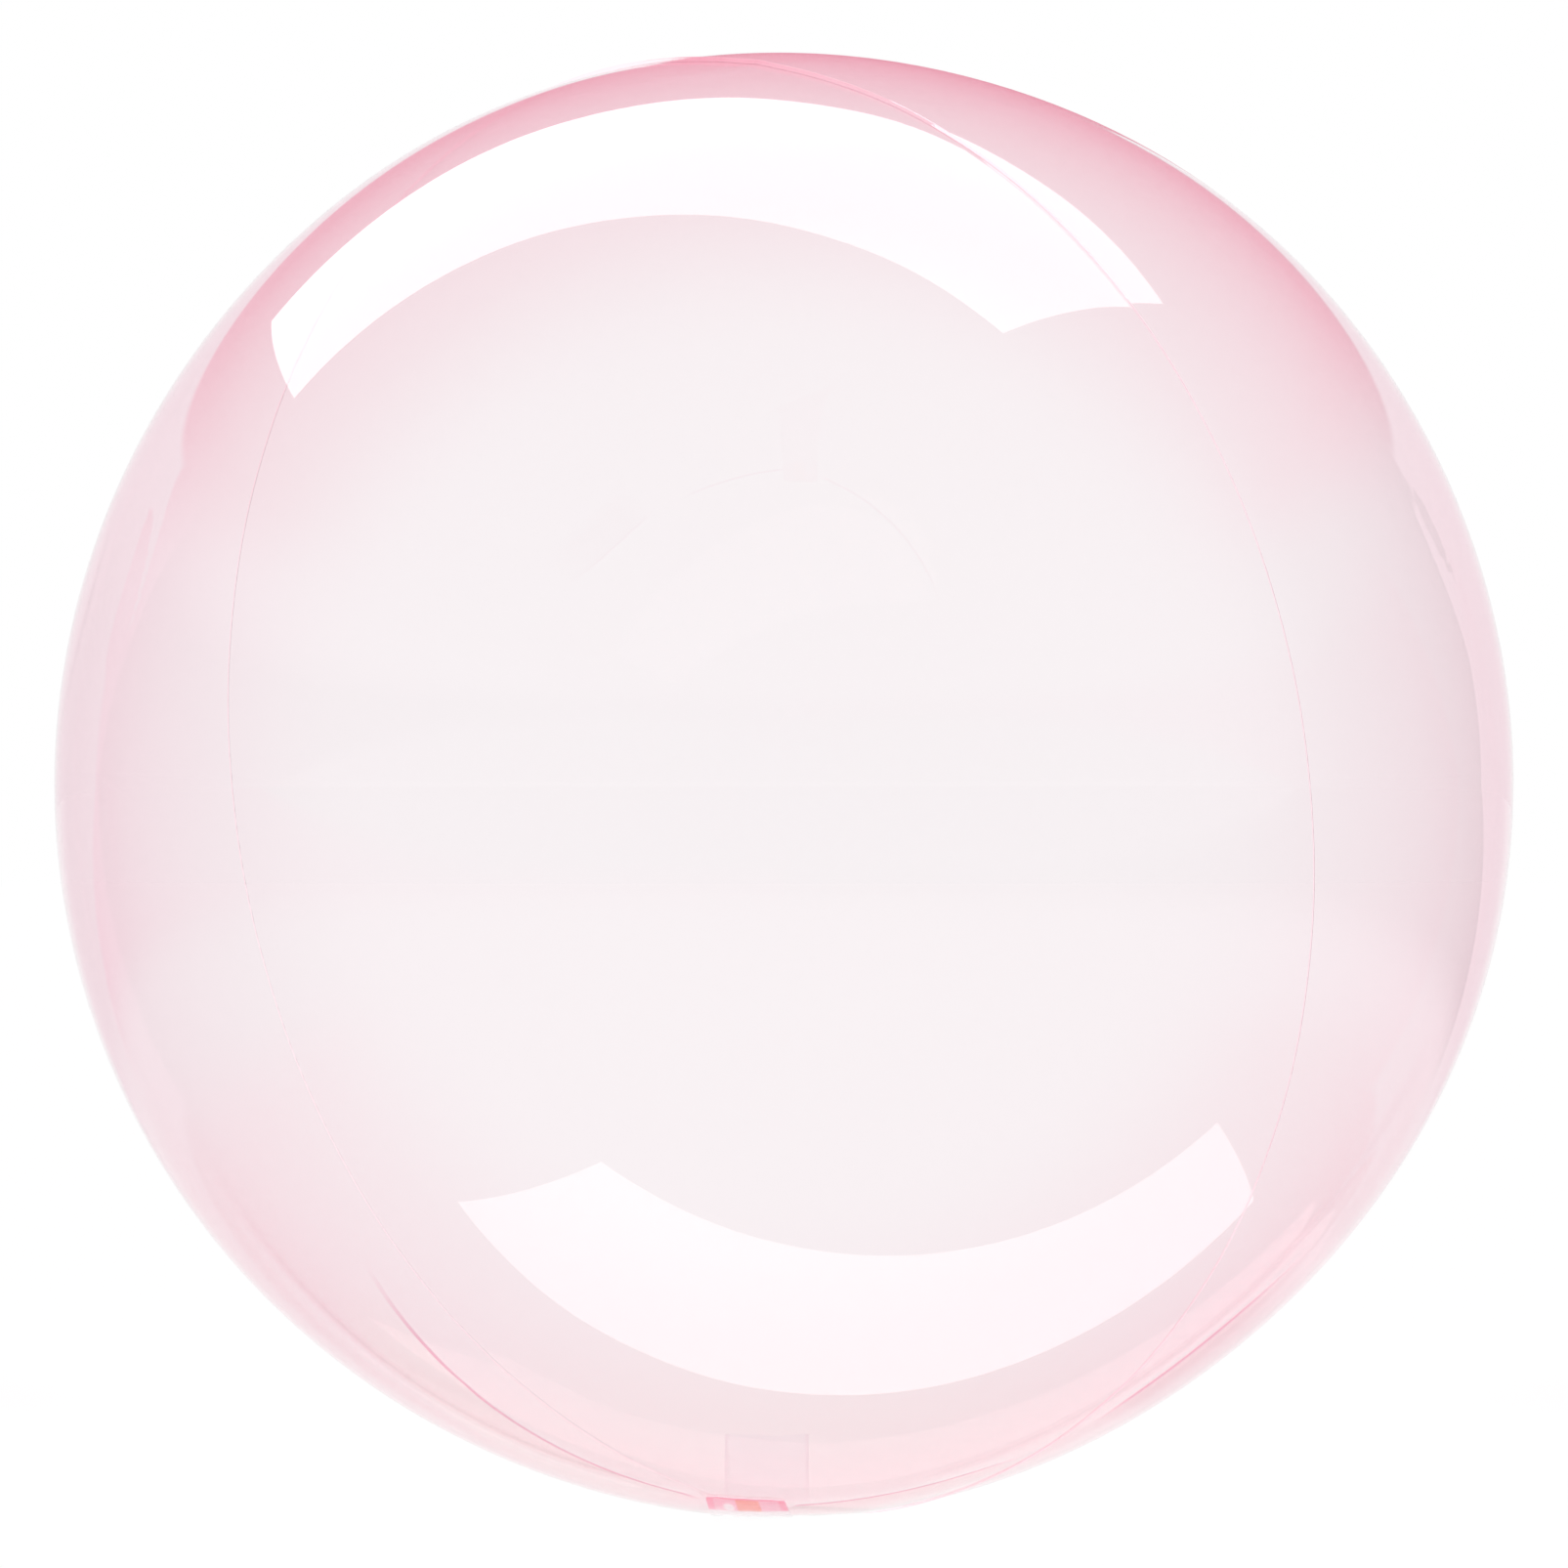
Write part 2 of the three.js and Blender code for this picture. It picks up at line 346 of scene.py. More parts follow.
def points_of(piece):
    co = np.empty(len(piece.data.vertices) * 3)
    piece.data.vertices.foreach_get("co", co)
    return co.reshape(-1, 3)


def move_points(piece, points):
    piece.data.vertices.foreach_set("co", points.ravel())
    piece.data.update()


def apply_modifier(piece, kind, **settings):
    modifier = piece.modifiers.new(kind.title(), kind)
    for name, value in settings.items():
        setattr(modifier, name, value)
    pick(piece)
    bpy.ops.object.modifier_apply(modifier=modifier.name)


def smooth(piece, crisp=40):
    """Shades the faces smooth and keeps edges above this angle crisp."""
    pick(piece)
    bpy.ops.object.shade_smooth_by_angle(angle=math.radians(crisp))


# ---- materials -----------------------------------------------------------

def new_material(name):
    material = bpy.data.materials.new(name)
    material.use_nodes = True
    material.node_tree.nodes.clear()
    return material


def add_node(tree, kind, settings=None, inputs=None):
    """Adds a node, sets its options, and sets or links its inputs by name or number."""
    node = tree.nodes.new(kind)
    for name, value in (settings or {}).items():
        setattr(node, name, value)
    for key, value in (inputs or {}).items():
        if isinstance(value, bpy.types.NodeSocket):
            tree.links.new(value, node.inputs[key])
        else:
            node.inputs[key].default_value = value
    return node


def rgba(colour):
    return (*colour, 1)


# Below the first of these heights the film grows paler, down to the second.
PALER_FROM = 70 * MM
PALER_TO = 20 * MM
PALER_SHARE = 0.42
# Half the width of a pleat and its blur, and how far out the film beside it is painted a different
# tone.
PLEAT_HALF_WIDTH = 1.4 * MM
PLEAT_BLUR = 0.6 * MM
BESIDE_PLEAT = (25 * MM, 40 * MM)


def fold_dye(tree, place, fold, dye):
    """Adds a crisp fold to the film's dye: a pinched pleat of three layers, with a
    painted tone on its outer side for how that facet takes the light."""
    ball = shape().diameter / 2
    normal, offset, slant, start, chord, middle = crease_lie(fold)
    across = add_node(tree, "ShaderNodeVectorMath", {"operation": "DOT_PRODUCT"}, {
        0: place, 1: tuple(normal)})
    aside = add_node(tree, "ShaderNodeMath", {"operation": "MULTIPLY_ADD"}, {
        0: across.outputs["Value"], 1: 1 / slant, 2: -(normal[2] + offset) * ball / slant})
    onward = add_node(tree, "ShaderNodeVectorMath", {"operation": "DOT_PRODUCT"}, {
        0: place, 1: tuple(chord)})
    run = chord @ chord
    share = add_node(tree, "ShaderNodeMath", {"operation": "MULTIPLY_ADD"}, {
        0: onward.outputs["Value"], 1: 1 / (ball * run), 2: -(chord[2] + start @ chord) / run})
    begun = add_node(tree, "ShaderNodeMapRange", {"interpolation_type": "SMOOTHSTEP"}, {
        "Value": share.outputs[0], "From Max": fold.start_share})
    unended = add_node(tree, "ShaderNodeMapRange", {"interpolation_type": "SMOOTHSTEP"}, {
        "Value": share.outputs[0], "From Min": 1.0, "From Max": 1 - fold.end_share})
    between = add_node(tree, "ShaderNodeMath", {"operation": "MULTIPLY"}, {
        0: begun.outputs["Result"], 1: unended.outputs["Result"]})
    towards = add_node(tree, "ShaderNodeVectorMath", {"operation": "DOT_PRODUCT"}, {
        0: place, 1: tuple(middle)})
    same_side = add_node(tree, "ShaderNodeMath", {"operation": "GREATER_THAN"}, {
        0: towards.outputs["Value"], 1: (SAME_SIDE + middle[2]) * ball})
    along = add_node(tree, "ShaderNodeMath", {"operation": "MULTIPLY"}, {
        0: between.outputs[0], 1: same_side.outputs[0]})

    # Painted light and shade: the film on the outer side, up to a soft edge, takes the fold's
    # painted tone.
    outside = add_node(tree, "ShaderNodeMapRange", {"interpolation_type": "SMOOTHSTEP"}, {
        "Value": aside.outputs[0], "From Min": 0.4 * MM, "From Max": 1.0 * MM,
        "To Max": 0.8})
    inside = add_node(tree, "ShaderNodeMapRange", {"interpolation_type": "SMOOTHSTEP"}, {
        "Value": aside.outputs[0], "From Min": BESIDE_PLEAT[1], "From Max": BESIDE_PLEAT[0]})
    beside = add_node(tree, "ShaderNodeMath", {"operation": "MULTIPLY"}, {
        0: outside.outputs["Result"], 1: inside.outputs["Result"]})
    beside = add_node(tree, "ShaderNodeMath", {"operation": "MULTIPLY"}, {
        0: beside.outputs[0], 1: along.outputs[0]})
    dye = add_node(tree, "ShaderNodeMix", {"data_type": "RGBA"}, {
        0: beside.outputs[0], A: dye, B: rgba(getattr(finish(), fold.outer_film))})

    # The pleat itself.
    from_line = add_node(tree, "ShaderNodeMath", {"operation": "ABSOLUTE"}, {0: aside.outputs[0]})
    line = add_node(tree, "ShaderNodeMapRange", {"interpolation_type": "SMOOTHSTEP"}, {
        "Value": from_line.outputs[0], "From Min": PLEAT_HALF_WIDTH,
        "From Max": PLEAT_HALF_WIDTH - PLEAT_BLUR})
    pleat = add_node(tree, "ShaderNodeMath", {"operation": "MULTIPLY"}, {
        0: line.outputs["Result"], 1: along.outputs[0]})
    dye = add_node(tree, "ShaderNodeMix", {"data_type": "RGBA"}, {
        0: pleat.outputs[0], A: dye.outputs[MIX], B: rgba(finish().pleat)})
    return dye.outputs[MIX]


def film_material():
    """Stretched polyethylene film, blown up: glass-clear, glossy, with a faint pink dye."""
    material = new_material("stretched_film")
    tree = material.node_tree
    place = add_node(tree, "ShaderNodeTexCoord").outputs["Object"]
    # The dye clouds a little over about 160 mm.
    cloud = add_node(tree, "ShaderNodeTexNoise", inputs={
        "Vector": place, "Scale": 1 / (160 * MM), "Detail": 2.0})
    straight = add_node(tree, "ShaderNodeMix", {"data_type": "RGBA"}, {
        0: cloud.outputs["Fac"], A: rgba(finish().film_tint), B: rgba(finish().film_shade)})
    # Light that grazes the film runs further through the dye.
    facing = add_node(tree, "ShaderNodeLayerWeight", inputs={"Blend": 0.5}).outputs["Facing"]
    grazing = add_node(tree, "ShaderNodeMath", {"operation": "POWER"}, {0: facing, 1: 2.0})
    slanting = add_node(tree, "ShaderNodeMix", {"data_type": "RGBA"}, {
        0: grazing.outputs[0], A: straight.outputs[MIX], B: rgba(finish().film_edge)})

    # The film is paler towards the bottom, round the neck.
    height = add_node(tree, "ShaderNodeSeparateXYZ", inputs={0: place}).outputs["Z"]
    low = add_node(tree, "ShaderNodeMapRange", {"interpolation_type": "SMOOTHSTEP"}, {
        "Value": height, "From Min": PALER_FROM, "From Max": PALER_TO, "To Max": PALER_SHARE})
    dye = add_node(tree, "ShaderNodeMix", {"data_type": "RGBA"}, {
        0: low.outputs["Result"], A: slanting.outputs[MIX], B: rgba(finish().paler_film_and_painted_light)})
    dye = dye.outputs[MIX]
    for fold in FOLDS:
        dye = fold_dye(tree, place, fold, dye)
    surface = add_node(tree, "ShaderNodeBsdfPrincipled", inputs={
        "Base Color": dye,
        "Roughness": 0.0,
        "IOR": 1.5,
        "Transmission Weight": 1.0})
    add_node(tree, "ShaderNodeOutputMaterial", inputs={"Surface": surface.outputs[0]})
    return material


def weld_material():
    """Two films fused by a hot bar: a dense pink, milky where the bar crimped it."""
    material = new_material("heat_welded_film")
    tree = material.node_tree
    place = add_node(tree, "ShaderNodeTexCoord").outputs["Object"]
    patches = add_node(tree, "ShaderNodeTexNoise", inputs={
        "Vector": place, "Scale": 1 / (9 * MM), "Detail": 3.0})
    # The bar's crimp is about 0.4 mm apart, drawn coarser so that it shows.
    crimp = add_node(tree, "ShaderNodeTexNoise", inputs={
        "Vector": place, "Scale": 1 / (1.2 * MM), "Detail": 1.0})
    pink = add_node(tree, "ShaderNodeMix", {"data_type": "RGBA"}, {
        0: patches.outputs["Fac"], A: rgba(finish().weld_tint), B: rgba(finish().weld_milk)})
    bump = add_node(tree, "ShaderNodeBump", inputs={
        "Height": crimp.outputs["Fac"], "Strength": 0.5, "Distance": 0.1 * MM})
    # Painted glow: the weld gives off a faint light of its own, standing in for light caught inside
    # the film that comes out again at the weld.
    surface = add_node(tree, "ShaderNodeBsdfPrincipled", inputs={
        "Base Color": pink.outputs[MIX],
        "Roughness": 0.03,
        "IOR": 1.1,
        "Transmission Weight": 1.0,
        "Emission Color": rgba(finish().painted_weld_glow),
        "Emission Strength": 0.05,
        "Normal": bump.outputs[0]})
    add_node(tree, "ShaderNodeOutputMaterial", inputs={"Surface": surface.outputs[0]})
    return material


def sleeve_material():
    """Limp film clinging to the ball's film, so that little light turns at its faces."""
    material = new_material("clinging_film")
    tree = material.node_tree
    laid = add_node(tree, "ShaderNodeUVMap", {"uv_map": "laid_flat"}).outputs[0]
    across = add_node(tree, "ShaderNodeSeparateXYZ", inputs={0: laid}).outputs["X"]
    from_middle = add_node(tree, "ShaderNodeMath", {"operation": "ABSOLUTE"}, {0: across})
    # The side seals are about 1.2 mm wide, with soft inner edges.
    half = shape().sleeve_width / 2
    sealed = add_node(tree, "ShaderNodeMapRange", {"interpolation_type": "SMOOTHSTEP"}, {
        "Value": from_middle.outputs[0], "From Min": half - 1.6 * MM, "From Max": half - 0.8 * MM})
    dye = add_node(tree, "ShaderNodeMix", {"data_type": "RGBA"}, {
        0: sealed.outputs["Result"], A: rgba(finish().sleeve_film), B: rgba(finish().sleeve_seal)})
    surface = add_node(tree, "ShaderNodeBsdfPrincipled", inputs={
        "Base Color": dye.outputs[MIX],
        "Roughness": 0.0,
        "IOR": 1.04,
        "Transmission Weight": 1.0})
    add_node(tree, "ShaderNodeOutputMaterial", inputs={"Surface": surface.outputs[0]})
    return material


# What is on the flat neck: the ink's stripe, the heat seals, a painted highlight where light
# comes through, and the end stretch that is folded over. Each has a soft edge.
INK_ASIDE = 0.5 * MM
INK_HALF_WIDTH = 4.4 * MM
INK_BLUR = 0.5 * MM
SIDE_SEAL = 2.6 * MM
END_SEAL = 2.4 * MM
SEAL_BLUR = 0.4 * MM
PAINTED_HIGHLIGHT_ASIDE = -6.6 * MM
PAINTED_HIGHLIGHT_FROM_END = 14 * MM
PAINTED_HIGHLIGHT_SIZE = (2.2 * MM, 7 * MM, 1)
FOLDED_STRETCH = 22 * MM
FOLDED_BLUR = 4 * MM


def neck_material():
    """Limp doubled film, pressed flat: cloudy pink, with sealed edges and release ink."""
    material = new_material("folded_neck_film")
    tree = material.node_tree
    # The flat pattern is in metres: across the neck from its middle, and along it.
    laid = add_node(tree, "ShaderNodeUVMap", {"uv_map": "laid_flat"}).outputs[0]
    place = add_node(tree, "ShaderNodeSeparateXYZ", inputs={0: laid}).outputs
    texture_space = add_node(tree, "ShaderNodeTexCoord").outputs["Object"]

    cloud = add_node(tree, "ShaderNodeTexNoise", inputs={
        "Vector": texture_space, "Scale": 1 / (11 * MM), "Detail": 3.0}).outputs["Fac"]
    film = add_node(tree, "ShaderNodeMix", {"data_type": "RGBA"}, {
        0: cloud, A: rgba(finish().neck_tint), B: rgba(finish().neck_milk)})

    # The release ink keeps the two films from sticking in the valve.
    off_ink = add_node(tree, "ShaderNodeMath", {"operation": "SUBTRACT"}, {
        0: place["X"], 1: INK_ASIDE})
    ink_side = add_node(tree, "ShaderNodeMath", {"operation": "ABSOLUTE"}, {
        0: off_ink.outputs[0]})
    ink = add_node(tree, "ShaderNodeMapRange", {"interpolation_type": "SMOOTHSTEP"}, {
        "Value": ink_side.outputs[0], "From Min": INK_HALF_WIDTH,
        "From Max": INK_HALF_WIDTH - INK_BLUR, "To Max": 0.9})
    inked = add_node(tree, "ShaderNodeMix", {"data_type": "RGBA"}, {
        0: ink.outputs["Result"], A: film.outputs[MIX], B: rgba(finish().ink_tint)})

    # Heat seals run along both sides and close the free end.
    half = shape().neck_width / 2
    from_middle = add_node(tree, "ShaderNodeMath", {"operation": "ABSOLUTE"}, {0: place["X"]})
    side_seal = add_node(tree, "ShaderNodeMapRange", {"interpolation_type": "SMOOTHSTEP"}, {
        "Value": from_middle.outputs[0], "From Min": half - SIDE_SEAL,
        "From Max": half - SIDE_SEAL + SEAL_BLUR})
    end = shape().neck_length
    end_seal = add_node(tree, "ShaderNodeMapRange", {"interpolation_type": "SMOOTHSTEP"}, {
        "Value": place["Y"], "From Min": end - END_SEAL,
        "From Max": end - END_SEAL + SEAL_BLUR})
    seal = add_node(tree, "ShaderNodeMath", {"operation": "MAXIMUM"}, {
        0: side_seal.outputs["Result"], 1: end_seal.outputs["Result"]})
    sealed = add_node(tree, "ShaderNodeMix", {"data_type": "RGBA"}, {
        0: seal.outputs[0], A: inked.outputs[MIX], B: rgba(finish().neck_seal)})

    # Painted highlight: a pale spot painted where light comes through the layers.
    highlight_place = add_node(tree, "ShaderNodeMapping", {"vector_type": "TEXTURE"}, {
        "Vector": laid, "Location": (PAINTED_HIGHLIGHT_ASIDE, end - PAINTED_HIGHLIGHT_FROM_END, 0), "Scale": PAINTED_HIGHLIGHT_SIZE})
    from_highlight = add_node(tree, "ShaderNodeVectorMath", {"operation": "LENGTH"}, {
        0: highlight_place.outputs[0]})
    painted_highlight = add_node(tree, "ShaderNodeMapRange", {"interpolation_type": "SMOOTHSTEP"}, {
        "Value": from_highlight.outputs["Value"], "From Min": 1.2, "From Max": 0.5})
    colour = add_node(tree, "ShaderNodeMix", {"data_type": "RGBA"}, {
        0: painted_highlight.outputs["Result"], A: sealed.outputs[MIX], B: rgba(finish().pale_film_and_highlight)})

    # Only the end stretch is folded over; the film is plain and pale up to there.
    folded = add_node(tree, "ShaderNodeMapRange", {"interpolation_type": "SMOOTHSTEP"}, {
        "Value": place["Y"], "From Min": end - FOLDED_STRETCH,
        "From Max": end - FOLDED_STRETCH + FOLDED_BLUR})
    colour = add_node(tree, "ShaderNodeMix", {"data_type": "RGBA"}, {
        0: folded.outputs["Result"], A: rgba(finish().pale_film_and_highlight), B: colour.outputs[MIX]})

    # Seen straight on, light runs a shorter way through the layers.
    facing = add_node(tree, "ShaderNodeLayerWeight", inputs={"Blend": 0.5}).outputs["Facing"]
    slant = add_node(tree, "ShaderNodeMapRange", {"interpolation_type": "SMOOTHSTEP"}, {
        "Value": facing, "From Min": 0.1, "From Max": 0.5, "To Min": 0.3})
    colour = add_node(tree, "ShaderNodeMix", {"data_type": "RGBA"}, {
        0: slant.outputs["Result"], A: rgba(finish().pale_film_and_highlight), B: colour.outputs[MIX]})
    bump = add_node(tree, "ShaderNodeBump", inputs={
        "Height": cloud, "Strength": 0.5, "Distance": 0.4 * MM})
    surface = add_node(tree, "ShaderNodeBsdfPrincipled", inputs={
        "Base Color": colour.outputs[MIX],
        "Roughness": 0.08,
        "IOR": 1.15,
        "Transmission Weight": 0.9,
        "Normal": bump.outputs[0]})
    add_node(tree, "ShaderNodeOutputMaterial", inputs={"Surface": surface.outputs[0]})
    return material


# ---- the two panels ------------------------------------------------------

# The half ball's grid, how finely it is cut everywhere and beside the crisp folds, and how
# closely its rings crowd towards the rim.
SEGMENTS = 80
RINGS = 35
CUTS = 2
FOLD_CUTS = 7
FOLD_REACH = 7 * MM
RING_CROWDING = 1.15
# Each panel's rim stops this far short of the lip, and its points are this close to it.
RIM_GAP = 0.01 * MM
RIM_TOLERANCE = 0.001 * MM


def crowd_rings(units, pole, rim):
    """Slides the rings of a half ball towards its rim, and the last one to its height."""
    tilt = np.arccos(np.clip(units @ pole, -1, 1))
    level = units - np.outer(np.cos(tilt), pole)
    reach = np.linalg.norm(level, axis=1, keepdims=True)
    level = np.divide(level, reach, out=np.zeros_like(level), where=reach > 1e-9)
    share = 1 - tilt / (math.pi / 2)
    widest = math.acos(rim / (shape().diameter / 2))
    tilt = widest * (1 - np.clip(share, 0, 1) ** RING_CROWDING)
    return np.outer(np.cos(tilt), pole) + np.sin(tilt)[:, None] * level


def beside_folds(units):
    """Which of the unit vectors lie close beside a crisp fold."""
    beside = np.zeros(len(units), dtype=bool)
    for fold in FOLDS:
        aside, share = place_by_crease(units, fold)
        beside |= (np.abs(aside) < FOLD_REACH) & (share > 0) & (share < 1)
    return beside


def build_panel(name, side, material):
    """One round of film, from its middle to the welded rim."""
    front, to_neck, across = weld_axes()
    pole = front * side
    ball = shape().diameter / 2
    rim = side * shape().weld_offset + shape().lip_thickness / 2 + RIM_GAP
    centre = Vector((0, 0, ball))
    turn = Matrix((to_neck, pole.cross(to_neck), pole)).transposed().to_euler()
    deselect()
    bpy.ops.mesh.primitive_uv_sphere_add(
        segments=SEGMENTS, ring_count=2 * RINGS, radius=ball, location=centre, rotation=turn)
    piece = bpy.context.object
    piece.name = name
    settle(piece)
    pole, centre = np.array(pole), np.array(centre)

    # Keep the half on this panel's side.
    heights = (points_of(piece) - centre) @ pole
    edit(piece, heights < -MM)
    bpy.ops.mesh.delete(type="VERT")
    bpy.ops.mesh.select_all(action="SELECT")
    bpy.ops.mesh.subdivide(number_cuts=CUTS)
    leave_edit()

    units = points_of(piece) - centre
    units /= np.linalg.norm(units, axis=1, keepdims=True)
    units = crowd_rings(units, pole, rim)
    move_points(piece, units * ball + centre)

    # The film beside the crisp folds is divided finely.
    edit(piece, beside_folds(units))
    bpy.ops.mesh.subdivide(number_cuts=FOLD_CUTS, quadcorner="FAN")
    # The many-sided faces round the fine part are parted evenly, so none is a sliver.
    bpy.ops.mesh.select_all(action="DESELECT")
    bpy.ops.mesh.select_face_by_sides(number=4, type="GREATER")
    bpy.ops.mesh.quads_convert_to_tris(ngon_method="BEAUTY")
    leave_edit()

    # Give the film its shape, with the rim kept in the weld plane.
    units = points_of(piece) - centre
    at_rim = np.abs(units @ pole - rim) < RIM_TOLERANCE
    units /= np.linalg.norm(units, axis=1, keepdims=True)
    points = units * film_radius(units)[:, None]
    drop = points @ pole - rim
    points[at_rim] -= np.outer(drop[at_rim], pole)
    move_points(piece, points + centre)

    # The flat spot that the ball settles on.
    points = points_of(piece)
    points[:, 2] = np.maximum(points[:, 2], shape().rest_height)
    move_points(piece, points)

    edit(piece)
    bpy.ops.mesh.select_all(action="SELECT")
    bpy.ops.mesh.normals_make_consistent(inside=False)
    leave_edit()
    apply_modifier(piece, "SOLIDIFY", thickness=shape().film, offset=-1, use_even_offset=True)
    smooth(piece)
    piece.data.materials.append(material)
    return piece


class BALLOON_OT_panels(bpy.types.Operator):
    """Builds the front and back film panels"""

    bl_idname = "balloon.panels"
    bl_label = "Film panels"

    def execute(self, context):
        material = film_material()
        for name, side, node in (("front_film", 1, "front_panel"), ("back_film", -1, "back_panel")):
            piece = build_panel(name, side, material)
            piece.visible_shadow = False
            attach(piece, "root")
            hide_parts(node)
        return {"FINISHED"}


# ---- the welded lip ------------------------------------------------------

LIP_STEPS = 480
LIP_SIDES = 8
LIP_INSET = 0.3 * MM
# The lip's width, as shares of its widest: all round, and what is added at the top and by
# the neck, with the turns in degrees over which that fades.
LIP_ALL_ROUND = 0.22
LIP_TOP, LIP_TOP_REACH = 0.78, 34
LIP_NECK, LIP_NECK_REACH = 0.22, 28
# Its thickness on the far side, as a share, and how square its section is: 1 is round.
LIP_FAR_THICKNESS = 0.15
LIP_SQUARENESS = 0.4
# The lip lies no lower than this.
GROUND_GAP = 0.1 * MM


class BALLOON_OT_lip(bpy.types.Operator):
    """Builds the thin flat lip where the two panels are welded"""

    bl_idname = "balloon.lip"
    bl_label = "Welded lip"

    def execute(self, context):
        front, to_neck, across = weld_axes()
        ball = shape().diameter / 2
        turn = Matrix((to_neck, across, front)).transposed().to_euler()
        deselect()
        bpy.ops.mesh.primitive_torus_add(
            major_segments=LIP_STEPS, minor_segments=LIP_SIDES, major_radius=ball,
            minor_radius=shape().lip / 2, location=(0, 0, ball), rotation=turn)
        piece = context.object
        piece.name = "weld_lip"
        settle(piece)

        # The round bead becomes a flat lip that rides on the film's own waist.
        points = points_of(piece) - np.array((0, 0, ball))
        axes = [np.array(axis) for axis in (front, to_neck, across)]
        height, down, side = (points @ axis for axis in axes)
        around = np.arctan2(side, down)
        outward = np.outer(np.cos(around), axes[1]) + np.outer(np.sin(around), axes[2])
        bead_out = (np.hypot(down, side) - ball) / (shape().lip / 2)
        bead_up = height / (shape().lip / 2)
        units = outward * ball + axes[0] * shape().weld_offset
        units /= np.linalg.norm(units, axis=1, keepdims=True)
        reach = np.sqrt(film_radius(units) ** 2 - shape().weld_offset ** 2)
        turned = np.degrees(np.abs(around))
        width = shape().lip * (
            LIP_ALL_ROUND + LIP_TOP * np.exp(-((180 - turned) / LIP_TOP_REACH) ** 2)
            + LIP_NECK * np.exp(-(turned / LIP_NECK_REACH) ** 2))
        out = reach - LIP_INSET + (bead_out + 1) / 2 * (width + LIP_INSET)
        # The section is nearly square where the films meet and thinner at the free edge.
        # The bar fused the films thinner on the back of the ball.
        bead_up = np.sign(bead_up) * np.abs(bead_up) ** LIP_SQUARENESS
        nearness = (1 + np.sin(around)) / 2
        fused = LIP_FAR_THICKNESS + (1 - LIP_FAR_THICKNESS) * nearness
        thickness = shape().lip_thickness * (0.8 - 0.2 * bead_out) * fused
        up = shape().weld_offset + bead_up * thickness / 2
        points = outward * out[:, None] + np.outer(up, axes[0]) + np.array((0, 0, ball))
        points[:, 2] = np.maximum(points[:, 2], GROUND_GAP)
        move_points(piece, points)
        smooth(piece, 10)
        piece.data.materials.append(weld_material())
        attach(piece, "root")
        return {"FINISHED"}


# ---- the folded neck and the valve's sleeve ------------------------------

# The neck flares over this length at the weld, and its free corners have this radius.
FLARE_REACH = 12 * MM
CORNER_RADIUS = 4 * MM
# It sways this far to the right and then back, over its length.
SWAY_RIGHT = 6.2 * MM
SWAY_BACK = 7.2 * MM
# Ripples in the limp neck: their height, and the reach of one radian across and along.
RIPPLE_HEIGHT = 0.12 * MM
RIPPLE_ACROSS = 3.1 * MM
RIPPLE_ALONG = 7 * MM
# The room between the neck or the sleeve and the film, and below the neck.
FILM_GAP = 0.25 * MM
NECK_GROUND_GAP = 0.05 * MM
# The sleeve starts this far past the weld, and the last part of it lifts off the film.
SLEEVE_START = 1.5 * MM
SLEEVE_THICKNESS = 0.05 * MM
SLEEVE_LIFT = 1.5 * MM
LIFTED_SHARE = 0.25


def flat_pattern(piece, across, along):
    """Keeps the place on the flat film, in metres, as a UV map."""
    layer = piece.data.uv_layers.new(name="laid_flat")
    for loop in piece.data.loops:
        layer.data[loop.index].uv = (across[loop.vertex_index], along[loop.vertex_index])


def film_strip(name, width, length, lanes, steps):
    """A flat grid of film on the ground, with its places across and along it."""
    deselect()
    bpy.ops.mesh.primitive_grid_add(x_subdivisions=lanes, y_subdivisions=steps, size=1)
    piece = bpy.context.object
    piece.name = name
    piece.scale = (width, length, 1)
    settle(piece)
    points = points_of(piece)
    return piece, points[:, 0].copy(), points[:, 1] + length / 2


class BALLOON_OT_neck(bpy.types.Operator):
    """Builds the filling neck, folded flat under the ball"""

    bl_idname = "balloon.neck"
    bl_label = "Folded neck"

    def execute(self, context):
        front, to_neck, across = weld_axes()
        width, length = shape().neck_width, shape().neck_length
        piece, side, along = film_strip("folded_neck", width, length, 36, 60)
        flat_pattern(piece, side, along)

        # The sides flare towards the weld, and the free end's corners are rounded.
        flare = np.clip(1 - along / FLARE_REACH, 0, 1) ** 2
        corner = np.clip(along - (length - CORNER_RADIUS), 0, CORNER_RADIUS)
        narrow = CORNER_RADIUS - np.sqrt(CORNER_RADIUS ** 2 - corner ** 2)
        taper = shape().neck_taper / 2 * along / length
        side = side * (1 + (flare * shape().neck_flare - narrow - taper) / (width / 2))
        # The root runs along the weld, and the free end is square.
        start = side * (-across.y / across.x)
        run = start + along / length * (length - start)
        root = weld_root()
        # The limp neck sways a little to the right and back.
        sway = SWAY_RIGHT * run / length - SWAY_BACK * (run / length) ** 2
        level = np.column_stack((root[0] + side + sway, root[1] - run))
        ripple = RIPPLE_HEIGHT * np.sin(side / RIPPLE_ACROSS) * np.sin(run / RIPPLE_ALONG + 0.7)
        lowest = NECK_GROUND_GAP + shape().neck_thickness / 2
        height = np.maximum(underside(level) - FILM_GAP - abs(ripple), lowest)
        move_points(piece, np.column_stack((level, height)))
        apply_modifier(
            piece, "SOLIDIFY", thickness=shape().neck_thickness, offset=0, use_even_offset=True)
        smooth(piece)
        piece.data.materials.append(neck_material())
        piece.visible_glossy = False
        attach(piece, "root")
        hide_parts("neck_tail")
        return {"FINISHED"}


